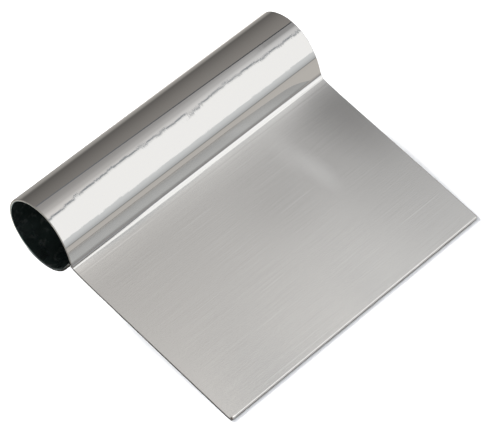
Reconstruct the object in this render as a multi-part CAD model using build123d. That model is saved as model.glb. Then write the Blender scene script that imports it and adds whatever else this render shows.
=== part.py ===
from build123d import *
import math
import os

# Bench scraper: a stainless blade with a rolled tubular handle along its back edge.
# Millimetres, in the pose it takes on a bench. X runs along the handle, -Y is the cutting edge, +Z is up.
# The origin is under the middle of the overall box, on the bench.
# Profiles are drawn on the YZ plane with the tube's lowest point at (0, 0), and moved to the origin at the end.

# Driving dimensions
WIDTH = 120.0               # length of the handle and of the cutting edge
SHEET = 0.9                 # thickness of the blade and of the handle wall
TUBE_RADIUS = 14.6          # outside of the rolled handle
ROLL_START = 160.0          # where the round part begins, degrees from +Y round the tube's axis
ROLL_END = 208.0            # where it ends, nearly once round, same angle
RUN_LENGTH = 6.0            # straight sheet between the round part and the bend
BEND_RADIUS = 4.4           # hollow side of the bend between handle and blade
BLADE_FLAT = 73.2           # from the end of the bend to the cutting edge, along the blade

BEVEL_RUN = 0.5             # cutting edge bevel, along the blade
BEVEL_DROP = 0.35           # cutting edge bevel, through the sheet
CORNER_RADIUS = 0.8         # softened front corners of the blade

CREASE_SHARE = 0.35         # where the crease weld lies, as a share of the bend from tube to blade
CREASE_WIDE = 1.4           # its width at the +X end
CREASE_NARROW = 0.5         # its width at the -X end

ROOT_GAP = 0.25             # between the roll's free end and the sheet it closes against
SEAM_LEG = 1.7              # legs of the seam weld under the bend
SEAM_CROWN = 0.25           # how far its face stands out of flat
SEAM_SETBACK = 2.5          # bare length at each end of the seam

TOOL_MARGIN = 1.0           # how far cutting shapes run past the sheet


def polar(centre, radius, angle):
    """The point at a radius and an angle in degrees from a centre, on the profile plane."""
    turn = math.radians(angle)
    return (centre[0] + radius * math.cos(turn), centre[1] + radius * math.sin(turn))


def line_to_circle(start, heading, centre, radius):
    """Where a straight run from start first meets a circle that it starts outside of."""
    step = (math.cos(math.radians(heading)), math.sin(math.radians(heading)))
    offset = (start[0] - centre[0], start[1] - centre[1])
    along = offset[0] * step[0] + offset[1] * step[1]
    outside = offset[0] ** 2 + offset[1] ** 2 - radius**2
    reach = -along - math.sqrt(along**2 - outside)
    return (start[0] + reach * step[0], start[1] + reach * step[1])


def arc(centre, radius, start, end):
    """A profile arc from one angle to another, clockwise where end is the lower."""
    return CenterArc(centre, radius, start, end - start)


# The roll, the straight run down from it, and the bend
tube_centre = (0.0, TUBE_RADIUS)
tube_bore = TUBE_RADIUS - SHEET
run_heading = ROLL_START + 90
run_end = polar(polar(tube_centre, TUBE_RADIUS, ROLL_START), RUN_LENGTH, run_heading)
run_end_inside = polar(run_end, SHEET, ROLL_START + 180)
bend_centre = polar(run_end, BEND_RADIUS, ROLL_START)
bend_under = BEND_RADIUS + SHEET

# The blade's slope is the one that lets the tube and the cutting edge both touch the bench
lean = math.atan2(bend_under, BLADE_FLAT)
slope = math.asin(bend_centre[1] / math.hypot(bend_under, BLADE_FLAT)) - lean
slope_angle = math.degrees(slope)

# Angles round the bend's axis
bend_at_tube = ROLL_START + 180
bend_at_blade = slope_angle + 270
crease_at = bend_at_tube + CREASE_SHARE * (bend_at_blade - bend_at_tube)

# Corners of the blade's flat part
blade_top_back = polar(bend_centre, BEND_RADIUS, bend_at_blade)
blade_under_back = polar(bend_centre, bend_under, bend_at_blade)
blade_under_front = polar(blade_under_back, BLADE_FLAT, slope_angle + 180)
bevel_low = polar(blade_under_front, SHEET - BEVEL_DROP, slope_angle + 90)
bevel_high = polar(blade_top_back, BLADE_FLAT - BEVEL_RUN, slope_angle + 180)

# The roll's free end, cut to follow the underside of the bend at a welding gap
free_heading = ROLL_END - 90
tip_radius = bend_under + ROOT_GAP
tip_outer = line_to_circle(polar(tube_centre, TUBE_RADIUS, ROLL_END), free_heading, bend_centre, tip_radius)
tip_inner = line_to_circle(polar(tube_centre, tube_bore, ROLL_END), free_heading, bend_centre, tip_radius)

# The box runs from the cutting edge to the back of the tube
box_middle = (bevel_low[0] + TUBE_RADIUS) / 2


def angle_from_bend(point):
    """The angle of a point round the bend's axis, between 180 and 540 degrees."""
    turn = math.degrees(math.atan2(point[1] - bend_centre[1], point[0] - bend_centre[0]))
    return turn + 360


def along_x(lines, length):
    """A solid of one profile, centred on the object's middle."""
    profile = Plane.YZ.offset(-length / 2) * make_face(lines)
    return extrude(profile, amount=length, dir=(1, 0, 0))


def crease_wedge():
    """A wedge through the bend, wider at +X, that the crease weld fills."""
    middle = polar(bend_centre, BEND_RADIUS + SHEET / 2, crease_at)
    outward = (0, math.cos(math.radians(crease_at)), math.sin(math.radians(crease_at)))
    plane = Plane(origin=(0, middle[0], middle[1]), x_dir=(1, 0, 0), z_dir=outward)
    half = WIDTH / 2
    outline = Polyline(
        (-half, -CREASE_NARROW / 2),
        (half, -CREASE_WIDE / 2),
        (half, CREASE_WIDE / 2),
        (-half, CREASE_NARROW / 2),
        close=True,
    )
    return extrude(plane * make_face(outline), amount=SHEET / 2 + TOOL_MARGIN, both=True)


def blade_plan():
    """The blade's outline seen square on, with softened front corners, as a thick plate."""
    length = BLADE_FLAT + 2 * bend_under
    outline = Rectangle(WIDTH, length, align=(Align.CENTER, Align.MIN))
    front_corners = outline.vertices().sort_by(Axis.Y)[:2]
    outline = fillet(front_corners, CORNER_RADIUS)
    plane = Plane(
        origin=(0, blade_under_front[0], blade_under_front[1]),
        x_dir=(1, 0, 0),
        z_dir=(0, -math.sin(slope), math.cos(slope)),
    )
    plate = extrude(plane * outline, amount=2 * bend_under)
    return plate + extrude(plane * outline, amount=-TOOL_MARGIN)


def make_blade():
    """The flat blade, its bevelled cutting edge, and its back edge turned up to the crease."""
    lines = [
        Line(blade_under_back, blade_under_front),
        Line(blade_under_front, bevel_low),
        Line(bevel_low, bevel_high),
        Line(bevel_high, blade_top_back),
        arc(bend_centre, BEND_RADIUS, bend_at_blade, crease_at),
        Line(polar(bend_centre, BEND_RADIUS, crease_at), polar(bend_centre, bend_under, crease_at)),
        arc(bend_centre, bend_under, crease_at, bend_at_blade),
    ]
    return (along_x(lines, WIDTH) - crease_wedge()) & blade_plan()


def make_handle_tube():
    """The rolled handle: out of the crease, once round, and back under the bend with a straight end."""
    round_end = ROLL_END - 360
    lines = [
        Line(polar(bend_centre, bend_under, crease_at), polar(bend_centre, BEND_RADIUS, crease_at)),
        arc(bend_centre, BEND_RADIUS, crease_at, bend_at_tube),
        Line(run_end, polar(tube_centre, TUBE_RADIUS, ROLL_START)),
        arc(tube_centre, TUBE_RADIUS, ROLL_START, round_end),
        Line(polar(tube_centre, TUBE_RADIUS, ROLL_END), tip_outer),
        arc(bend_centre, tip_radius, angle_from_bend(tip_outer), angle_from_bend(tip_inner)),
        Line(tip_inner, polar(tube_centre, tube_bore, ROLL_END)),
        arc(tube_centre, tube_bore, round_end, ROLL_START),
        Line(polar(tube_centre, tube_bore, ROLL_START), run_end_inside),
        arc(bend_centre, bend_under, bend_at_tube, crease_at),
    ]
    return along_x(lines, WIDTH) - crease_wedge()


def make_crease_weld():
    """The weld that joins blade and handle edge to edge, dressed flush with both."""
    lines = [
        arc(bend_centre, BEND_RADIUS, bend_at_blade, bend_at_tube),
        Line(polar(bend_centre, BEND_RADIUS, bend_at_tube), polar(bend_centre, bend_under, bend_at_tube)),
        arc(bend_centre, bend_under, bend_at_tube, bend_at_blade),
        Line(polar(bend_centre, bend_under, bend_at_blade), polar(bend_centre, BEND_RADIUS, bend_at_blade)),
    ]
    return along_x(lines, WIDTH) & crease_wedge()


def make_seam_weld():
    """The fillet weld under the bend that closes the roll's free end."""
    tip_angle = angle_from_bend(tip_outer)
    root_angle = angle_from_bend(tip_inner)
    toe_angle = tip_angle - math.degrees(SEAM_LEG / bend_under)
    toe_on_bend = polar(bend_centre, bend_under, toe_angle)
    toe_on_roll = polar(tip_outer, SEAM_LEG, free_heading + 180)
    middle = ((toe_on_bend[0] + toe_on_roll[0]) / 2, (toe_on_bend[1] + toe_on_roll[1]) / 2)
    across = math.atan2(toe_on_roll[1] - toe_on_bend[1], toe_on_roll[0] - toe_on_bend[0])
    crown = polar(middle, SEAM_CROWN, math.degrees(across) - 90)
    lines = [
        arc(bend_centre, bend_under, toe_angle, root_angle),
        Line(polar(bend_centre, bend_under, root_angle), tip_inner),
        arc(bend_centre, tip_radius, root_angle, tip_angle),
        Line(tip_outer, toe_on_roll),
        ThreePointArc(toe_on_roll, crown, toe_on_bend),
    ]
    return along_x(lines, WIDTH - 2 * SEAM_SETBACK)


def main():
    os.makedirs("parts", exist_ok=True)
    nodes = {
        "blade": make_blade(),
        "handle_tube": make_handle_tube(),
        "crease_weld": make_crease_weld(),
        "seam_weld": make_seam_weld(),
    }
    for name, shape in nodes.items():
        placed = Pos(0, -box_middle, 0) * shape
        placed.label = name
        export_step(placed, f"parts/{name}.step")
        box = placed.bounding_box()
        print(name, "volume", round(placed.volume, 2), "from", box.min, "to", box.max)
    print("slope", slope_angle, "tube centre y", -box_middle, "blade underside back", blade_under_back)
    print("bend from", bend_at_tube, "to", bend_at_blade, "crease at", crease_at)


main()
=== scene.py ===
import math

import bpy
import numpy as np
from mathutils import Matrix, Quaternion, Vector, noise


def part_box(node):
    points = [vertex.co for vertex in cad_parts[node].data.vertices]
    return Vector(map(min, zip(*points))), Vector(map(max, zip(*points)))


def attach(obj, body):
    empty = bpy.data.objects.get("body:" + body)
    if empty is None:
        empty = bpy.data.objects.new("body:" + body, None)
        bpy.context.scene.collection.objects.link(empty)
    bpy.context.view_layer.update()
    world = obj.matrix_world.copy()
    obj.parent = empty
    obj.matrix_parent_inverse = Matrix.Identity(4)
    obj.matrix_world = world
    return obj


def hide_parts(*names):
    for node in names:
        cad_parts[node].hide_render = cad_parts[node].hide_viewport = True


# A stainless bench scraper: satin blade, mirror-polished rolled handle, a dressed weld line in the crease
# between them, and a raw weld under the bend that closes the roll.
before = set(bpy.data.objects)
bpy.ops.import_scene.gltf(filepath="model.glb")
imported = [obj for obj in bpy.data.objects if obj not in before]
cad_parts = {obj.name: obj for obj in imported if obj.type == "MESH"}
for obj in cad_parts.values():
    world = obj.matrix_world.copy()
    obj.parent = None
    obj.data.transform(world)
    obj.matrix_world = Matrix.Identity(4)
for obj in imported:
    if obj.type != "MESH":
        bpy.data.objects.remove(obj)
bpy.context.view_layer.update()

MM = 0.001
UV_LENGTH = 100.0           # millimetres that one unit of the along_section map covers

# The section's sizes in millimetres, as the CAD has them. Angles are degrees from +Y round +X.
SHEET = 0.9
ROLL_START = 160.0
ROLL_END = 208.0
RUN_LENGTH = 6.0
BEND_RADIUS = 4.4
BLADE_FLAT = 73.2
BEVEL_RUN = 0.5
BEVEL_DROP = 0.35
CORNER_RADIUS = 0.8
CREASE_SHARE = 0.35
CREASE_WIDE = 1.4
CREASE_NARROW = 0.5
ROOT_GAP = 0.25
SEAM_LEG = 1.7
SEAM_CROWN = 0.25

tube_low, tube_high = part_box("handle_tube")
seam_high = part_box("seam_weld")[1]
HALF = tube_high.x / MM
TUBE_RADIUS = (tube_high.z - tube_low.z) / 2 / MM
TUBE_Y = tube_high.y / MM - TUBE_RADIUS
SEAM_HALF = seam_high.x / MM

# Finish of the cut edges
BLADE_EDGE = 0.1            # rounding of the blade's sheared edges
BLADE_RIGHT_EDGE = 0.28     # the same at the +X side, which was deburred more
RIM_OUTSIDE = 0.18          # rounding of the handle's rims, on the polished side
RIM_INSIDE = 0.22           # the same on the bore side
JOINT_EDGE = 0.012          # rounding beside the dressed weld, which leaves a hairline on each side


# ------------------------------------------------------------------------------------------- section

def polar(centre, radius, angle):
    """The point at a radius and an angle in degrees from a centre, on the section's plane."""
    turn = math.radians(angle)
    return np.array((centre[0] + radius * math.cos(turn), centre[1] + radius * math.sin(turn)))


def arc(centre, radius, start, end, through):
    """A stretch of section along an arc. through is 1 where the sheet lies outside it, -1 inside."""
    length = radius * math.radians(abs(end - start))

    def at(distance):
        angle = start + (end - start) * distance / length
        return polar(centre, radius, angle), through * polar((0, 0), 1, angle)

    return length, at


def straight(start, heading, length, through):
    """A straight stretch of section. through is the angle of the direction through the sheet."""

    def at(distance):
        return polar(start, distance, heading), polar((0, 0), 1, through)

    return length, at


def along(stretches, distance):
    """The show-side point at a distance along the section, and the direction through the sheet."""
    for length, at in stretches[:-1]:
        if distance <= length:
            return at(distance)
        distance -= length
    return stretches[-1][1](distance)


def total(stretches):
    return sum(length for length, at in stretches)


tube_centre = np.array((TUBE_Y, TUBE_RADIUS))
roll_point = polar(tube_centre, TUBE_RADIUS, ROLL_START)
run_end = polar(roll_point, RUN_LENGTH, ROLL_START + 90)
bend_centre = polar(run_end, BEND_RADIUS, ROLL_START)
bend_under = BEND_RADIUS + SHEET
slope = math.degrees(
    math.asin(bend_centre[1] / math.hypot(bend_under, BLADE_FLAT)) - math.atan2(bend_under, BLADE_FLAT)
)
bend_at_tube = ROLL_START + 180
bend_at_blade = slope + 270
crease_at = bend_at_tube + CREASE_SHARE * (bend_at_blade - bend_at_tube)
blade_back = polar(bend_centre, BEND_RADIUS, bend_at_blade)
free_start = polar(tube_centre, TUBE_RADIUS, ROLL_END)
free_heading = ROLL_END - 90


def run_to_circle(start, heading, centre, radius):
    """Length of a straight run from start to a circle that it starts outside of."""
    step = polar((0, 0), 1, heading)
    offset = start - centre
    forward = offset @ step
    return -forward - math.sqrt(forward**2 - (offset @ offset - radius**2))


TIP_RUN = run_to_circle(free_start, free_heading, bend_centre, bend_under + ROOT_GAP)

# Every section starts in the crease
handle_section = [
    arc(bend_centre, BEND_RADIUS, crease_at, bend_at_tube, 1),
    straight(run_end, ROLL_START - 90, RUN_LENGTH, ROLL_START + 180),
    arc(tube_centre, TUBE_RADIUS, ROLL_START, ROLL_END - 360, -1),
    straight(free_start, free_heading, TIP_RUN, ROLL_END + 180),
]
blade_section = [
    arc(bend_centre, BEND_RADIUS, crease_at, bend_at_blade, 1),
    straight(blade_back, slope + 180, BLADE_FLAT, slope + 270),
]
weld_section = [arc(bend_centre, BEND_RADIUS, crease_at + 30, crease_at - 30, 1)]
WELD_MIDDLE = BEND_RADIUS * math.radians(30)


def weld_half_width(x):
    """Half the crease weld's width at x: it widens steadily from the -X end to the +X end."""
    share = (x + HALF) / (2 * HALF)
    return (CREASE_NARROW + (CREASE_WIDE - CREASE_NARROW) * share) / 2


# ------------------------------------------------------------------------------------------- relief

# How far the show face stands proud of the CAD's bend, in mm. Offsets are from the joint towards the blade.
# The handle comes straight on to a valley, and the blade's bend rises from the valley to a low shoulder.
HANDLE_OFFSET = -BEND_RADIUS * math.radians(CREASE_SHARE * (bend_at_blade - bend_at_tube))
HANDLE_HEIGHT = 0.20
VALLEY_X = (-55.0, -30.0, 0.0, 30.0, 55.0)
VALLEY_AT = (0.42, 0.38, -0.24, -0.34, -0.75)
VALLEY_HEIGHT = (-0.11, -0.08, -0.04, -0.02, 0.03)
RISE_OFFSET = 1.43
RISE_HEIGHT = 0.135
RISE_SLOPE = 0.244
SHOULDER_OFFSET = (1.43, 1.9, 2.62, 3.1, 4.1, 8.1, 13.0)
SHOULDER_HEIGHT = (0.135, 0.223, 0.276, 0.262, 0.195, 0.04, 0.0)


def smooth_steps(places, heights):
    """A curve that eases from one height to the next, as two lists to interpolate."""
    at = np.linspace(places[0], places[-1], 6000)
    i = np.minimum(len(places) - 2, np.searchsorted(places, at, side="right") - 1)
    places, heights = np.array(places), np.array(heights)
    share = (at - places[i]) / (places[i + 1] - places[i])
    return at, heights[i] + (heights[i + 1] - heights[i]) * (1 - np.cos(math.pi * share)) / 2


def smooth_curve(places, heights, first_slope, last_slope):
    """A curve through points with matching slopes on both sides of each, as two lists to interpolate."""
    places, heights = np.array(places), np.array(heights)
    slopes = np.gradient(heights, places)
    slopes[0], slopes[-1] = first_slope, last_slope
    at = np.linspace(places[0], places[-1], 600)
    i = np.minimum(len(places) - 2, np.searchsorted(places, at, side="right") - 1)
    step = places[i + 1] - places[i]
    t = (at - places[i]) / step
    start = heights[i] * (1 + 2 * t) * (1 - t) ** 2 + slopes[i] * step * t * (1 - t) ** 2
    return at, start + heights[i + 1] * t**2 * (3 - 2 * t) - slopes[i + 1] * step * t**2 * (1 - t)


shoulder_at, shoulder = smooth_curve(SHOULDER_OFFSET, SHOULDER_HEIGHT, RISE_SLOPE, 0.0)


def crease_height(x, offset):
    """How far the show face stands proud in and beside the crease."""
    valley = float(np.interp(x, VALLEY_X, VALLEY_AT))
    low = float(np.interp(x, VALLEY_X, VALLEY_HEIGHT))
    if offset < valley:
        share = max(0.0, (offset - HANDLE_OFFSET) / (valley - HANDLE_OFFSET))
        return HANDLE_HEIGHT - (HANDLE_HEIGHT - low) * share**2
    if offset < RISE_OFFSET:
        reach = RISE_OFFSET - valley
        t = (offset - valley) / reach
        climb = low + (RISE_HEIGHT - low) * t**2 * (3 - 2 * t)
        return climb - RISE_SLOPE * reach * t**2 * (1 - t)
    return float(np.interp(offset, shoulder_at, shoulder))


def waves(x, y, z, size):
    """Smooth noise between about -1 and 1 with features of one size, in millimetres."""
    return noise.noise(Vector((x, y, z)) / size)


def round_cut(distance, radius):
    """How far a face is cut back at a distance from an edge that is rounded to a radius."""
    if distance >= radius:
        return 0.0
    return radius - math.sqrt(max(0.0, radius**2 - (radius - distance) ** 2))


def edge_steps(radius):
    """Distances from an edge at which its rounding needs vertices, and one on the flat beyond it."""
    turns = (90, 65, 42, 20, 0)
    beyond = 1.6 * radius
    return [radius * (1 - math.sin(math.radians(t))) for t in turns] + [beyond]


def spread(low, high, step, low_edge, high_edge):
    """Places from low to high about a step apart, closer at both edges."""
    first = [low + d for d in edge_steps(low_edge)]
    last = [high - d for d in edge_steps(high_edge)][::-1]
    count = max(2, round((last[0] - first[-1]) / step))
    middle = np.linspace(first[-1], last[0], count + 1)[1:-1]
    return first + list(middle) + last


# ------------------------------------------------------------------------------------------- meshes

def sheet_mesh(name, section, xs, stations, shape, materials):
    """A sheet bent along X. shape(x, station) gives the distance along the section, and how far the show
    face and the back face are cut back there. The materials are the show face's, the back face's and the
    cut edges'. The attribute through is 0 on the show face and 1 on the back face."""
    columns = len(xs)
    rows = len(stations)
    front, back, across = [], [], []
    for x in xs:
        for station in stations:
            distance, front_cut, back_cut = shape(x, station)
            point, through = along(section, distance)
            y, z = point + through * front_cut
            front.append((x * MM, y * MM, z * MM))
            y, z = point + through * (SHEET - back_cut)
            back.append((x * MM, y * MM, z * MM))
            across.append((distance / UV_LENGTH, x / UV_LENGTH))
    shift = columns * rows
    faces, kinds = [], []

    def add(face, kind):
        faces.append(face)
        kinds.append(kind)

    for i in range(columns - 1):
        for j in range(rows - 1):
            a, b, c, d = i * rows + j, (i + 1) * rows + j, (i + 1) * rows + j + 1, i * rows + j + 1
            add((a, d, c, b), 0)
            add((a + shift, b + shift, c + shift, d + shift), 1)
    for i in range(columns - 1):
        for j, turned in ((0, False), (rows - 1, True)):
            a, b = i * rows + j, (i + 1) * rows + j
            face = (a, b, b + shift, a + shift)
            add(face[::-1] if turned else face, 2)
    for j in range(rows - 1):
        for i, turned in ((0, True), (columns - 1, False)):
            a, b = i * rows + j, i * rows + j + 1
            face = (a, b, b + shift, a + shift)
            add(face[::-1] if turned else face, 2)
    piece = mesh_object(name, front + back, faces, materials)
    piece.data.polygons.foreach_set("material_index", kinds)
    depth = piece.data.attributes.new("through", "FLOAT", "POINT")
    depth.data.foreach_set("value", [0.0] * shift + [1.0] * shift)
    layer = piece.data.uv_layers.new(name="along_section")
    both = np.array(across + across, dtype=np.float32)
    loops = np.zeros(len(piece.data.loops), dtype=np.int32)
    piece.data.loops.foreach_get("vertex_index", loops)
    layer.data.foreach_set("uv", both[loops].ravel())
    return piece


def mesh_object(name, points, faces, materials):
    """A smooth-shaded mesh object with its materials."""
    mesh = bpy.data.meshes.new(name)
    mesh.from_pydata(points, [], faces)
    mesh.validate()
    for material in materials:
        mesh.materials.append(material)
    mesh.shade_smooth()
    piece = bpy.data.objects.new(name, mesh)
    bpy.context.scene.collection.objects.link(piece)
    return piece


def finish_piece(piece, node):
    """Joins a piece to the frame in place of its CAD node."""
    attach(piece, "root")
    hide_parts(node)


# ---------------------------------------------------------------------------------------- materials

PAINTED_SHADE_BLACK = (0.0, 0.0, 0.0, 1)
BRIGHT_SCRATCH_AND_HIGHLIGHT = (0.92, 0.915, 0.91, 1)


def add_node(tree, kind, inputs=None, **settings):
    """A node with its settings, and its inputs set to a value or linked to another node's output."""
    made = tree.nodes.new(kind)
    for key, value in settings.items():
        setattr(made, key, value)
    for key, value in (inputs or {}).items():
        if isinstance(value, bpy.types.NodeSocket):
            tree.links.new(value, made.inputs[key])
        else:
            made.inputs[key].default_value = value
    return made


def new_material(name):
    material = bpy.data.materials.new(name)
    material.use_nodes = True
    material.node_tree.nodes.clear()
    return material, material.node_tree


def object_noise(tree, scale, detail=2.0, roughness=0.5):
    """Noise in object space. scale is features per metre along X, Y and Z."""
    place = add_node(tree, "ShaderNodeTexCoord").outputs["Object"]
    mapped = add_node(tree, "ShaderNodeMapping", {"Vector": place, "Scale": scale})
    made = add_node(
        tree,
        "ShaderNodeTexNoise",
        {"Vector": mapped.outputs[0], "Scale": 1.0, "Detail": detail, "Roughness": roughness},
    )
    return made.outputs[0]


def remap(tree, value, low, high, to_low, to_high):
    made = add_node(
        tree,
        "ShaderNodeMapRange",
        {"Value": value, "From Min": low, "From Max": high, "To Min": to_low, "To Max": to_high},
    )
    return made.outputs[0]


def calculate(tree, operation, first, second):
    made = add_node(tree, "ShaderNodeMath", {0: first, 1: second}, operation=operation)
    return made.outputs[0]


def two_colours(tree, factor, first, second):
    made = add_node(tree, "ShaderNodeMix", {0: factor, 6: first, 7: second}, data_type="RGBA")
    return made.outputs[2]


def metal(tree, colour, roughness, normal, anisotropy=0.0):
    """A metal surface. The highlight spreads across the brushing, which runs along X."""
    inputs = {"Base Color": colour, "Metallic": 1.0, "Roughness": roughness, "Normal": normal}
    if anisotropy:
        inputs["Anisotropic"] = anisotropy
        inputs["Tangent"] = add_node(
            tree, "ShaderNodeTangent", direction_type="UV_MAP", uv_map="along_section"
        ).outputs[0]
    shader = add_node(tree, "ShaderNodeBsdfPrincipled", inputs)
    add_node(tree, "ShaderNodeOutputMaterial", {"Surface": shader.outputs[0]})


def raised(tree, height, distance):
    """A normal for fine relief up to a distance in metres."""
    return add_node(tree, "ShaderNodeBump", {"Height": height, "Distance": distance}).outputs[0]


def oval_spot(tree, where, x, distance, half_x, half_distance, strength):
    """Rises to strength in the middle of an oval spot of the sheet. Sizes are millimetres, and distance is
    measured from the crease."""
    inputs = {
        "Vector": where,
        "Location": (-distance / half_distance, -x / half_x, 0),
        "Scale": (UV_LENGTH / half_distance, UV_LENGTH / half_x, 0),
    }
    mapped = add_node(tree, "ShaderNodeMapping", inputs).outputs[0]
    off = add_node(tree, "ShaderNodeVectorMath", {0: mapped}, operation="LENGTH").outputs["Value"]
    inputs = {"Value": off, "From Min": 0.0, "From Max": 1.0, "To Min": strength, "To Max": 0.0}
    return add_node(tree, "ShaderNodeMapRange", inputs, interpolation_type="SMOOTHSTEP").outputs[0]


def painted_light_and_corner_spot(tree, where, colour):
    """Painted shade in two darker patches and painted highlights in two brighter ones on the show face, with
    a painted glint and a small dark brown spot on the front-left corner.
    """
    # painted shade: two darker patches on the show face
    painted_shade = oval_spot(tree, where, 14, 26, 30, 24, 0.10)
    colour = two_colours(tree, painted_shade, colour, PAINTED_SHADE_BLACK)
    painted_shade_end = oval_spot(tree, where, 57, 16, 20, 32, 0.26)
    colour = two_colours(tree, painted_shade_end, colour, PAINTED_SHADE_BLACK)
    # painted highlight: two brighter patches beside the crease
    near_crease = oval_spot(tree, where, 28.5, 16, 7, 14, 0.25)
    painted_highlight_further_out = oval_spot(tree, where, 31.5, 27, 6, 14, 0.42)
    painted_highlight = calculate(tree, "ADD", near_crease, painted_highlight_further_out)
    colour = two_colours(tree, painted_highlight, colour, BRIGHT_SCRATCH_AND_HIGHLIGHT)
    # painted glint: a small bright spot on the front-left corner
    painted_glint = oval_spot(tree, where, -58.3, 75.8, 1.3, 0.6, 0.8)
    colour = two_colours(tree, painted_glint, colour, (0.95, 0.94, 0.91, 1))
    # a small dark brown spot on the front-left corner
    dark_corner_spot = oval_spot(tree, where, -59.5, 75.9, 0.9, 0.9, 1.0)
    return two_colours(tree, dark_corner_spot, colour, (0.07, 0.045, 0.035, 1))


def brushed_steel(name, with_painted_light):
    """The blade's satin finish: belt grain along X, blotches in the gloss, and stray hairline scratches. It's
    a little glossier in the bend, where the belt doesn't reach."""
    material, tree = new_material(name)
    grain = object_noise(tree, (35, 3600, 0), 3.0, 0.65)
    fine = object_noise(tree, (90, 9000, 0), 2.0, 0.6)
    blotch = object_noise(tree, (30, 45, 45), 2.0)
    both = calculate(tree, "ADD", grain, calculate(tree, "MULTIPLY", fine, 0.6))
    shade = remap(tree, grain, 0.3, 0.7, 0.0, 1.0)
    colour = two_colours(tree, shade, (0.68, 0.675, 0.66, 1), (0.73, 0.725, 0.71, 1))
    stray = object_noise(tree, (16, 1700, 0), 1.0)
    scratches = remap(tree, stray, 0.70, 0.75, 0.0, 0.35)
    colour = two_colours(tree, scratches, colour, BRIGHT_SCRATCH_AND_HIGHLIGHT)
    where = add_node(tree, "ShaderNodeUVMap", uv_map="along_section").outputs[0]
    # the show face gets the painted shade, highlights and glint, and the dark corner spot
    if with_painted_light:
        colour = painted_light_and_corner_spot(tree, where, colour)
    satin = remap(tree, blotch, 0.3, 0.7, 0.11, 0.14)
    from_crease = add_node(tree, "ShaderNodeSeparateXYZ", {0: where}).outputs[0]
    share = remap(tree, from_crease, 1.0 / UV_LENGTH, 1.9 / UV_LENGTH, 0.0, 1.0)
    roughness = add_node(tree, "ShaderNodeMix", {0: share, 2: 0.09, 3: satin}, data_type="FLOAT").outputs[0]
    normal = raised(tree, both, 0.000003)
    metal(tree, colour, roughness, normal, 0.95)
    return material


def mirror_steel():
    """The handle's polish: nearly a mirror, with the faint ripple and haze that buffing leaves, and painted
    shade that darkens it towards the crease."""
    material, tree = new_material("mirror_steel")
    haze = object_noise(tree, (20, 60, 60), 3.0)
    ripple = object_noise(tree, (700, 90, 90), 2.0)
    normal = raised(tree, ripple, 0.000003)
    where = add_node(tree, "ShaderNodeUVMap", uv_map="along_section").outputs[0]
    from_crease = add_node(tree, "ShaderNodeSeparateXYZ", {0: where}).outputs[0]
    # painted shade: darker towards the crease
    painted_crease_shade = remap(tree, from_crease, 0.9 / UV_LENGTH, 2.1 / UV_LENGTH, 0.38, 0.0)
    colour = two_colours(tree, painted_crease_shade, (0.655, 0.65, 0.64, 1), (0.0, 0.0, 0.03, 1))
    metal(tree, colour, remap(tree, haze, 0.35, 0.7, 0.025, 0.045), normal)
    return material


def mill_steel():
    """The unpolished inside of the handle and of the crease, with small bright specks painted in as glints.
    """
    material, tree = new_material("mill_steel")
    grain = object_noise(tree, (900, 900, 900), 3.0, 0.6)
    blotch = object_noise(tree, (60, 90, 90), 3.0)
    share = remap(tree, blotch, 0.3, 0.7, 0.0, 1.0)
    colour = two_colours(tree, share, (0.24, 0.31, 0.31, 1), (0.34, 0.42, 0.42, 1))
    # painted glints: small bright specks in the colour
    painted_glints = remap(tree, object_noise(tree, (450, 450, 450), 2.0), 0.56, 0.68, 0.0, 0.6)
    colour = two_colours(tree, painted_glints, colour, (0.78, 0.82, 0.82, 1))
    metal(tree, colour, remap(tree, blotch, 0.3, 0.7, 0.22, 0.34), raised(tree, grain, 0.00006))
    return material


def cut_steel():
    """Sheared and deburred edges. Their grain and roughness are the steel's, and their dark grey colour is
    painted shade.
    """
    material, tree = new_material("cut_steel")
    grain = object_noise(tree, (2500, 2500, 2500), 2.0)
    # painted shade: the cut edges are coloured dark grey
    colour = two_colours(tree, grain, (0.16, 0.155, 0.15, 1), (0.34, 0.33, 0.32, 1))
    metal(tree, colour, remap(tree, grain, 0.3, 0.7, 0.22, 0.42), raised(tree, grain, 0.00002))
    return material


def polished_edge():
    """The handle's rims, touched on the polishing wheel, with painted shade as a dark line along the outer
    edge.
    """
    material, tree = new_material("polished_edge")
    grain = object_noise(tree, (1500, 1500, 1500), 2.0)
    colour = two_colours(tree, grain, (0.60, 0.59, 0.56, 1), (0.74, 0.73, 0.70, 1))
    through = add_node(tree, "ShaderNodeAttribute", attribute_name="through").outputs["Fac"]
    # painted shade: the outer part of the rim is dark
    clear_of_painted_shade = remap(tree, through, 0.22, 0.36, 0.0, 1.0)
    colour = two_colours(tree, clear_of_painted_shade, (0.10, 0.09, 0.08, 1), colour)
    metal(tree, colour, remap(tree, grain, 0.3, 0.7, 0.08, 0.14), raised(tree, grain, 0.000004))
    return material


def dressed_steel():
    """The crease weld, ground flush and buffed along its length."""
    material, tree = new_material("dressed_steel")
    grain = object_noise(tree, (60, 3000, 3000), 2.0)
    colour = two_colours(tree, grain, (0.66, 0.655, 0.65, 1), (0.74, 0.735, 0.73, 1))
    metal(tree, colour, remap(tree, grain, 0.3, 0.7, 0.08, 0.18), raised(tree, grain, 0.000006))
    return material


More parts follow.
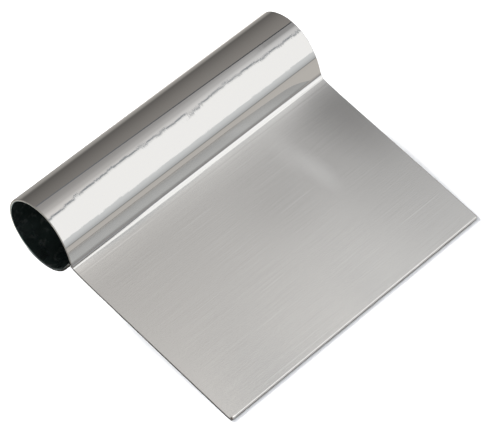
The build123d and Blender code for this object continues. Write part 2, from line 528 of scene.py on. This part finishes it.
def raw_weld_steel():
    """An as-welded bead, brushed clean, with a straw and blue heat tint in patches."""
    material, tree = new_material("raw_weld_steel")
    tint = object_noise(tree, (90, 400, 400), 2.0)
    grain = object_noise(tree, (3000, 3000, 3000), 2.0)
    ramp = add_node(tree, "ShaderNodeValToRGB", {"Fac": tint})
    ramp.color_ramp.elements[0].position = 0.36
    ramp.color_ramp.elements[0].color = (0.30, 0.31, 0.37, 1)
    ramp.color_ramp.elements[1].position = 0.62
    ramp.color_ramp.elements[1].color = (0.55, 0.53, 0.50, 1)
    straw = ramp.color_ramp.elements.new(0.48)
    straw.color = (0.50, 0.42, 0.30, 1)
    metal(tree, ramp.outputs[0], remap(tree, grain, 0.3, 0.7, 0.22, 0.38), raised(tree, grain, 0.00003))
    return material


# ------------------------------------------------------------------------------------------- pieces

# The roll isn't quite round: distances from the crease, and how far it swells out there
swell_at, swell = smooth_steps(
    (0.0, -HANDLE_OFFSET, 4.9, 11.8, 19.5, 31.0, 39.0, 47.5, 300.0),
    (HANDLE_HEIGHT, HANDLE_HEIGHT, 0.30, -0.22, 0.0, 0.0, 0.15, 0.0, 0.0),
)
RIPPLE_DEPTH = 0.006        # faint unevenness of the polish
RIPPLE_SIZE = 14
CREASE_ZONE = 2.1           # how far from the crease the handle's vertices stay close together
CORNER_REACH = 4.0          # how far from the cutting edge the blade's vertices shift to round its corners

# The bead under the bend
BEAD_END = 1.6              # length of its rounded start and end
BEAD_END_TURN = 14          # how far the toe on the bend draws back there, in degrees
BEAD_RIPPLE = 0.10
BEAD_RIPPLE_PITCH = 1.9
BEAD_WANDER = 0.12          # how far its toes stray from straight


def build_handle(show, hidden, edge):
    """The rolled handle, from the crease round the tube to the free end under the bend."""
    length = total(handle_section)
    near_crease = edge_steps(JOINT_EDGE) + list(np.arange(0.1, CREASE_ZONE, 0.1))
    around = spread(0.0, length, 0.45, JOINT_EDGE, BLADE_EDGE)
    stations = near_crease + [station for station in around if station > CREASE_ZONE + 0.1]

    def shape(x, station):
        start = weld_half_width(x)
        distance = start + station * (length - start) / length
        end = HALF - abs(x)
        cut = max(round_cut(station, JOINT_EDGE), round_cut(length - station, BLADE_EDGE))
        rise = float(np.interp(distance, swell_at, swell))
        if distance < -HANDLE_OFFSET:
            rise = crease_height(x, -distance)
        point, through = along(handle_section, distance)
        ripple = RIPPLE_DEPTH * (1 + waves(x, point[0], point[1], RIPPLE_SIZE))
        outside = max(cut, round_cut(end, RIM_OUTSIDE)) + ripple - rise
        return distance, outside, max(cut, round_cut(end, RIM_INSIDE)) + rise

    xs = spread(-HALF, HALF, 1.0, RIM_OUTSIDE, RIM_OUTSIDE)
    piece = sheet_mesh("polished_handle_tube", handle_section, xs, stations, shape, [show, hidden, edge])
    finish_piece(piece, "handle_tube")


def build_blade(show, hidden, edge):
    """The satin blade: flat, bevelled at the cutting edge, its back turned up to the crease."""
    length = total(blade_section)
    near_edge = [length - d for d in (1.6, 0.9, 0.62, 0.54, 0.5, 0.46, 0.38, 0.25, 0.12)]
    last = [length - d for d in edge_steps(BLADE_EDGE)][::-1]
    first = edge_steps(JOINT_EDGE)
    arc_length = blade_section[0][0]
    past_bend = arc_length + 1.4
    bend = list(np.linspace(first[-1], past_bend, 34))[1:]
    flat = list(np.linspace(bend[-1], near_edge[0], 56))[1:-1]
    stations = first + bend + flat + near_edge + last

    def shape(x, station):
        start = weld_half_width(x)
        back_share = max(0.0, 1 - station / arc_length)
        side = HALF - abs(x)
        corner = round_cut(side, CORNER_RADIUS)
        to_edge = length - station
        front_share = max(0.0, 1 - to_edge / CORNER_REACH)
        distance = station + start * back_share - corner * front_share
        bevel = BEVEL_DROP * max(0.0, 1 - to_edge / BEVEL_RUN)
        side_edge = BLADE_RIGHT_EDGE if x > 0 else BLADE_EDGE
        rounding = max(round_cut(side, side_edge), round_cut(to_edge, BLADE_EDGE))
        joint = round_cut(station, JOINT_EDGE)
        relief = -crease_height(x, distance)
        return distance, max(bevel, rounding, joint) + relief, max(rounding, joint) - relief

    xs = spread(-HALF, HALF, 2.0, BLADE_EDGE, BLADE_RIGHT_EDGE)
    corner_steps = (0.15, 0.25, 0.35, 0.5, 0.65, 0.8, 1.1)
    xs = sorted(xs + [-HALF + d for d in corner_steps] + [HALF - d for d in corner_steps])
    too_close = 0.004
    xs = [x for i, x in enumerate(xs) if i == 0 or x - xs[i - 1] > too_close]
    piece = sheet_mesh("satin_blade", blade_section, xs, stations, shape, [show, hidden, edge])
    finish_piece(piece, "blade")
    return piece


def build_crease_weld(show, hidden):
    """The dressed weld in the crease: just below flush on show, a little proud underneath."""
    sunk, proud = 0.003, 0.12
    stations = [-math.cos(math.radians(t)) for t in range(0, 181, 10)]

    def shape(x, station):
        half = weld_half_width(x)
        offset = station * half
        relief = -crease_height(x, offset)
        return WELD_MIDDLE + offset, sunk + relief, -proud * (1 - station**2) - relief

    xs = spread(-HALF, HALF, 1.0, BLADE_EDGE, BLADE_EDGE)
    piece = sheet_mesh("dressed_crease_weld", weld_section, xs, stations, shape, [show, hidden, show])
    finish_piece(piece, "crease_weld")


def build_seam_weld(material):
    """The fillet bead under the bend, laid in overlapping ripples, with a rounded start and end."""
    free_end = polar(free_start, TIP_RUN, free_heading)
    tip_angle = math.degrees(math.atan2(*(free_end - bend_centre)[::-1])) % 360
    toe_angle = tip_angle - math.degrees(SEAM_LEG / bend_under)
    toe_on_roll = polar(free_end, SEAM_LEG, free_heading + 180)
    ring_size = 20
    count = 231
    points, faces = [], []
    for i in range(count):
        share = i / (count - 1)
        x = -SEAM_HALF + 2 * SEAM_HALF * share
        to_end = min(SEAM_HALF - abs(x), BEAD_END)
        size = 0.06 + 0.94 * math.sqrt(max(0.0, 1 - (1 - to_end / BEAD_END) ** 2))
        ripple = BEAD_RIPPLE * abs(math.sin(math.pi * x / BEAD_RIPPLE_PITCH + 0.6 * waves(x, 0, 0, 6)))
        wander = BEAD_WANDER * waves(x, 9, 0, 5)
        toe_b = polar(bend_centre, bend_under, toe_angle + (1 - size) * BEAD_END_TURN - wander * 3)
        toe_r = free_end + (toe_on_roll - free_end) * size * (1 + wander / 2)
        chord = toe_r - toe_b
        out = np.array((chord[1], -chord[0])) / math.hypot(*chord)
        middle = (toe_b + toe_r) / 2
        if out @ (middle - bend_centre) < 0:
            out = -out
        root = free_end + (polar(bend_centre, bend_under, tip_angle) - free_end) * 0.5
        for k in range(ring_size):
            t = k / (ring_size - 1)
            hump = 4 * t * (1 - t)
            y, z = toe_b + chord * t + out * (SEAM_CROWN - BEAD_RIPPLE + ripple) * size * hump
            points.append(((x - ripple * hump / 2) * MM, y * MM, z * MM))
        points.append((x * MM, root[0] * MM, root[1] * MM))
    ring = ring_size + 1
    for i in range(count - 1):
        for k in range(ring):
            a, b = i * ring + k, i * ring + (k + 1) % ring
            faces.append((a, b, b + ring, a + ring))
    faces.append(tuple(range(ring))[::-1])
    faces.append(tuple(range((count - 1) * ring, count * ring)))
    piece = mesh_object("seam_weld_bead", points, faces, [material])
    finish_piece(piece, "seam_weld")


# --------------------------------------------------------------------------------------------- stage

def glowing(name):
    """Light from a card. Its colour and strength at each vertex are an attribute of the mesh."""
    material, tree = new_material(name)
    light = add_node(tree, "ShaderNodeAttribute", attribute_name="light").outputs["Color"]
    shader = add_node(tree, "ShaderNodeEmission", {"Color": light})
    add_node(tree, "ShaderNodeOutputMaterial", {"Surface": shader.outputs[0]})
    return material


def card(name, across, down, place, level, colour):
    """A studio card that only shows in the steel. place(u, v) gives its points, and level(u, v) its
    brightness. colour is one colour, or two that it turns through from the first of across to the last."""
    first, last = (np.array(c) for c in (colour if isinstance(colour[0], tuple) else (colour, colour)))
    points, light = [], []
    for u in across:
        share = (u - across[0]) / (across[-1] - across[0])
        tint = first + (last - first) * share
        for v in down:
            points.append(place(u, v))
            light.extend((*(tint * level(u, v)), 1.0))
    rows = len(down)
    faces = [
        (i * rows + j, (i + 1) * rows + j, (i + 1) * rows + j + 1, i * rows + j + 1)
        for i in range(len(across) - 1)
        for j in range(rows - 1)
    ]
    made = mesh_object(name, points, faces, [glowing(name)])
    attribute = made.data.attributes.new("light", "FLOAT_COLOR", "POINT")
    attribute.data.foreach_set("color", light)
    made.visible_camera = False
    made.visible_shadow = False
    made.visible_diffuse = False


SWEEP = 0.5                 # how far the cards over the bench are from the handle, in metres
IN_FRONT = 0.004            # how much nearer a card is that hangs in front of another


def sweep_card(name, xs, start, end, level, colour, rows, nearer=0.0):
    """A card bent round the bench, from angle start(x) to end(x) above +Y as seen from the handle. x is in
    metres, and v runs from 0 to 1 along the bend. nearer brings it in front of others."""

    def place(x, v):
        angle = start(x) + (end(x) - start(x)) * v
        y, z = polar((TUBE_Y * MM, TUBE_RADIUS * MM), SWEEP - nearer, angle)
        return (x, y, z)

    card(name, xs, list(np.linspace(0, 1, rows)), place, level, colour)


def fade(value, low, high):
    """Rises smoothly from 0 at low to 1 at high."""
    share = min(1.0, max(0.0, (value - low) / (high - low)))
    return share * share * (3 - 2 * share)


def jitter(x, size, height, seed):
    return height * noise.noise(Vector((x / size, seed, 0.0)))


# The front card's hem, as sweep angles by x in metres: it hangs in folds, and one fold drops sharply
HEM_AT = (
    0.0, 0.1455, 0.1575, 0.1685, 0.1765, 0.1965, 0.2225, 0.2375,
    0.2437, 0.2440, 0.2528, 0.268, 0.2905, 0.3065, 0.3305, 0.5,
)
HEM_ANGLE = (
    105.0, 108.0, 104.0, 100.0, 98.0, 97.0, 99.5, 100.0,
    101.5, 117.0, 106.0, 99.5, 102.0, 105.0, 106.0, 106.0,
)
LOWER_HEM = 168.3
OVERHEAD_END = 118.0

# Brightness of the overhead card by sweep angle, left and right of the line near its right end
OVERHEAD_AT = (45, 63, 71, 79, 84, 87, 91, 95, 104, 118)
OVERHEAD_LEFT = (0.36, 0.42, 0.48, 0.61, 0.655, 0.75, 0.87, 0.94, 0.98, 1.0)
OVERHEAD_RIGHT = (0.30, 0.34, 0.39, 0.41, 0.43, 0.62, 0.74, 0.79, 0.84, 0.90)
LINE_SHARP = (0.300, 0.312)
LINE_SOFT = (0.285, 0.350)

# Brightness of the tabletop by Y, in front of the scraper and behind it
BEFORE_AT = (-1000, -340, -290, -120, -56)
BEFORE_LEVEL = (0.33, 0.33, 0.62, 0.64, 0.66)
BEHIND_AT = (53, 65, 77, 90, 101, 130, 180, 215, 300, 500, 1500)
BEHIND_LEVEL = (0.5, 0.56, 0.46, 0.43, 0.42, 0.405, 0.32, 0.27, 0.21, 0.17, 0.16)
UNDER_LEVEL = 0.05          # under the scraper
STRIP_LEVEL = 2.6           # a bright strip close to the handle's open end, which lights its rim
STRIP_SURROUND = 0.45


def rear_edge(x):
    """Where the overhead card ends towards the back: its edge is cut slanting."""
    return min(92.0, max(20.0, 55.1 + (x - 0.163) * 102.0))


def hem(x):
    """Where the front card begins: its hem is torn into small teeth."""
    teeth = jitter(x, 0.008, 2.0, 3.0) + jitter(x, 0.0034, 7.0, 8.0) + jitter(x, 0.0017, 4.0, 11.0)
    return float(np.interp(x, HEM_AT, HEM_ANGLE)) + teeth


def trim_edge(x):
    """Where the dim trim along the hem begins."""
    return hem(x) - 4.8 - jitter(x, 0.004, 3.0, 60.0)


def lower_hem(x):
    return LOWER_HEM + jitter(x, 0.012, 0.7, 21.0) + jitter(x, 0.0024, 1.6, 30.0)


def ends(x):
    """Dims the cards towards their far ends, which only other views than the photo's see."""
    return 1 - 0.6 * (1 - fade(x, -0.45, 0.08))


def front_level(x, v):
    """The front card is a little dimmer along its hem."""
    return 1.285 * ends(x) * (0.78 + 0.22 * fade(v, 0.0, 0.09))


def overhead_level(x, angle):
    """The overhead card dims towards the back. Past a line near its right end it's darker."""
    left = float(np.interp(angle, OVERHEAD_AT, OVERHEAD_LEFT))
    right = float(np.interp(angle, OVERHEAD_AT, OVERHEAD_RIGHT))
    sharp, soft = fade(x, *LINE_SHARP), fade(x, *LINE_SOFT)
    return left + (right - left) * (sharp + (soft - sharp) * fade(angle, 81, 86))


def overhead_place_level(x, v):
    return ends(x) * overhead_level(x, rear_edge(x) + (OVERHEAD_END - rear_edge(x)) * v)


def wall_level(x, v):
    """The wall dims downwards, and its skirting is darker still."""
    return ends(x) * (0.89 - 0.27 * fade(v, 0.2, 0.9) - 0.28 * fade(v, 0.86, 0.92))


def left_level(y, z):
    """The left card is brightest low down, and fades out at its top and at its back."""
    return (0.95 - 0.6 * fade(z, 0.1, 0.35)) * (1 - fade(z, 0.5, 0.7)) * (1 - fade(y, 0.3, 0.5))


def table_level(x, y):
    """How bright the tabletop looks in the steel, at a place in millimetres."""
    behind = float(np.interp(y, BEHIND_AT, BEHIND_LEVEL)) + 0.95 * fade(x, -35, 78) * (1 - fade(y, 60, 106))
    before = float(np.interp(y, BEFORE_AT, BEFORE_LEVEL))
    level = before + (behind - before) * fade(y, 38, 56)
    out = -x - HALF
    if out > 0 and abs(y) < 100:
        strip = STRIP_LEVEL * fade(y, 40, 48) * fade(out, 0, 2) * (1 - fade(out, 5, 8))
        strip += STRIP_SURROUND * fade(out, 4, 9)
        dim = fade(out, 0, 60)
        dim += (1 - dim) * fade(y, 54, 62)
        return max(UNDER_LEVEL, level * dim, strip * (1 - fade(out, 20, 60)))
    outside_x = max(0.0, abs(x) - HALF) * 1.5
    outside_y = max(0.0, y - 45, -53 - y)
    clear = fade(math.hypot(outside_x, outside_y), 0.0, 12.0)
    return UNDER_LEVEL + (level - UNDER_LEVEL) * clear


def both_ways(places):
    """The places and the same on the negative side, as the outer rows of a card."""
    return [-place for place in places[::-1]], list(places)


def build_cards():
    """The studio as the steel sees it. A card's columns are close together where its outline is jagged."""
    wide = (-0.6, 0.6)
    jagged = sorted(list(np.linspace(*wide, 61)) + list(np.linspace(0.13, 0.35, 601)))
    lined = sorted(list(np.linspace(*wide, 121)) + list(np.linspace(0.27, 0.35, 81)))
    plain = list(np.linspace(*wide, 121))
    sweep_card("front_card", jagged, hem, lower_hem, front_level, (1.0, 0.997, 0.99), 34, IN_FRONT)
    sweep_card("hem_trim", jagged, trim_edge, hem, lambda x, v: 0.45, (0.9, 0.95, 1.0), 3, IN_FRONT)
    warm, cool = (1.12, 0.99, 0.86), (0.95, 0.98, 1.02)
    sweep_card(
        "overhead_card", lined, rear_edge, lambda x: OVERHEAD_END, overhead_place_level, (warm, cool), 40
    )
    sweep_card(
        "overhead_trim", plain, lambda x: rear_edge(x) - 3.0, rear_edge,
        lambda x, v: 0.22 - 0.13 * fade(x, 0.17, 0.30),
        (0.92, 0.96, 1.04), 3,
    )
    sweep_card("wall_card", plain, lambda x: 165.0, lambda x: 182.0, wall_level, (0.97, 0.99, 1.0), 40)
    card(
        "left_card", list(np.linspace(-0.45, 0.5, 20)), list(np.linspace(0.003, 0.7, 16)),
        lambda y, z: (-0.62, y, z), left_level, (1.0, 0.99, 0.97),
    )
    far_before, far_behind = both_ways((600, 900, 1500, 3000))
    sides = far_before + list(np.linspace(-500, -160, 18)) + list(np.linspace(-150, 150, 151))
    sides += list(np.linspace(160, 500, 18)) + far_behind
    depths = far_before + list(np.linspace(-460, -100, 19)) + list(np.linspace(-95, 140, 118))
    depths += list(np.linspace(145, 500, 36)) + far_behind
    just_above = 0.0002
    card(
        "table_in_steel", sides, depths,
        lambda x, y: (x * MM, y * MM, just_above), table_level, (1.04, 0.995, 0.94),
    )


def build_world():
    """A dim warm room, lighter towards the ceiling and a little lighter on the +X side."""
    world = bpy.data.worlds.new("room")
    world.use_nodes = True
    tree = world.node_tree
    tree.nodes.clear()
    direction = add_node(tree, "ShaderNodeTexCoord").outputs["Generated"]
    axes = add_node(tree, "ShaderNodeSeparateXYZ", {0: direction})
    horizon, ceiling = 0.165, 0.355
    by_height = remap(tree, axes.outputs[2], 0.0, 1.0, horizon, ceiling)
    by_side = remap(tree, axes.outputs[0], 0.37, 0.45, 0.82, 1.02)
    level = calculate(tree, "MULTIPLY", by_height, by_side)
    sky = add_node(tree, "ShaderNodeBackground", {"Color": (1.04, 0.98, 0.925, 1), "Strength": level})
    add_node(tree, "ShaderNodeOutputWorld", {"Surface": sky.outputs[0]})
    bpy.context.scene.world = world


def build_floor():
    """A plain pale tabletop."""
    material, tree = new_material("pale_floor")
    shader = add_node(
        tree,
        "ShaderNodeBsdfPrincipled",
        {"Base Color": (0.9, 0.9, 0.9, 1), "Roughness": 1.0, "Specular IOR Level": 0.0},
    )
    add_node(tree, "ShaderNodeOutputMaterial", {"Surface": shader.outputs[0]})
    side = 3.0
    corners = [(-side, -side, 0), (side, -side, 0), (side, side, 0), (-side, side, 0)]
    mesh_object("floor", corners, [(0, 1, 2, 3)], [material])


COOL = (0.92, 0.98, 1.08)
WHITE = (1.0, 1.0, 1.0)


def build_light(name, place, size, power, colour):
    """A soft light, aimed at the scraper, that lights the table but isn't mirrored."""
    data = bpy.data.lights.new(name, "AREA")
    data.shape = "SQUARE"
    data.size = size
    data.energy = power
    data.color = colour
    light = bpy.data.objects.new(name, data)
    bpy.context.scene.collection.objects.link(light)
    light.location = place
    light.rotation_mode = "QUATERNION"
    light.rotation_quaternion = Vector(place).to_track_quat("Z", "Y")
    light.visible_glossy = False
    return light


def shadow_only_from(light, piece):
    """Lets one piece alone block a light."""
    blockers = bpy.data.collections.new(light.name + "_blockers")
    blockers.objects.link(piece)
    light.light_linking.blocker_collection = blockers


# The photo's camera: angles in degrees, lengths in metres
AZIMUTH = -46.12
ELEVATION = 52.04
ROLL = 1.24
TARGET = (-0.0038, -0.0033, 0.0147)
DISTANCE = 1.0449
LENS = 227.0                # in millimetres


def build_camera():
    """The camera at the photo's angle, looking from -X and -Y down at the scraper."""
    azimuth, elevation = math.radians(AZIMUTH), math.radians(ELEVATION)
    level_back = (math.sin(azimuth), -math.cos(azimuth))
    back = Vector((*(c * math.cos(elevation) for c in level_back), math.sin(elevation)))
    data = bpy.data.cameras.new("camera")
    data.lens = LENS
    data.clip_start = 0.05
    data.clip_end = 20
    camera = bpy.data.objects.new("camera", data)
    bpy.context.scene.collection.objects.link(camera)
    camera.location = Vector(TARGET) + back * DISTANCE
    camera.rotation_mode = "QUATERNION"
    camera.rotation_quaternion = back.to_track_quat("Z", "Y") @ Quaternion((0, 0, 1), math.radians(ROLL))
    bpy.context.scene.camera = camera


satin, underside = brushed_steel("satin_show_face", True), brushed_steel("satin_underside", False)
mirror, mill, cut = mirror_steel(), mill_steel(), cut_steel()
build_handle(mirror, mill, polished_edge())
blade = build_blade(satin, underside, cut)
build_crease_weld(dressed_steel(), mill)
build_seam_weld(raw_weld_steel())
build_floor()
build_world()
build_cards()
build_light("table_light_left", (-1.3, 0.1, 0.55), 0.8, 12.5, COOL)
build_light("table_light_right", (1.0, 0.5, 1.0), 0.8, 10.5, COOL)
rear_light = build_light("table_light_rear", (-0.25, 1.1, 0.53), 0.45, 37.0, WHITE)
shadow_only_from(rear_light, blade)
build_camera()
bpy.context.scene.view_settings.view_transform = "Standard"
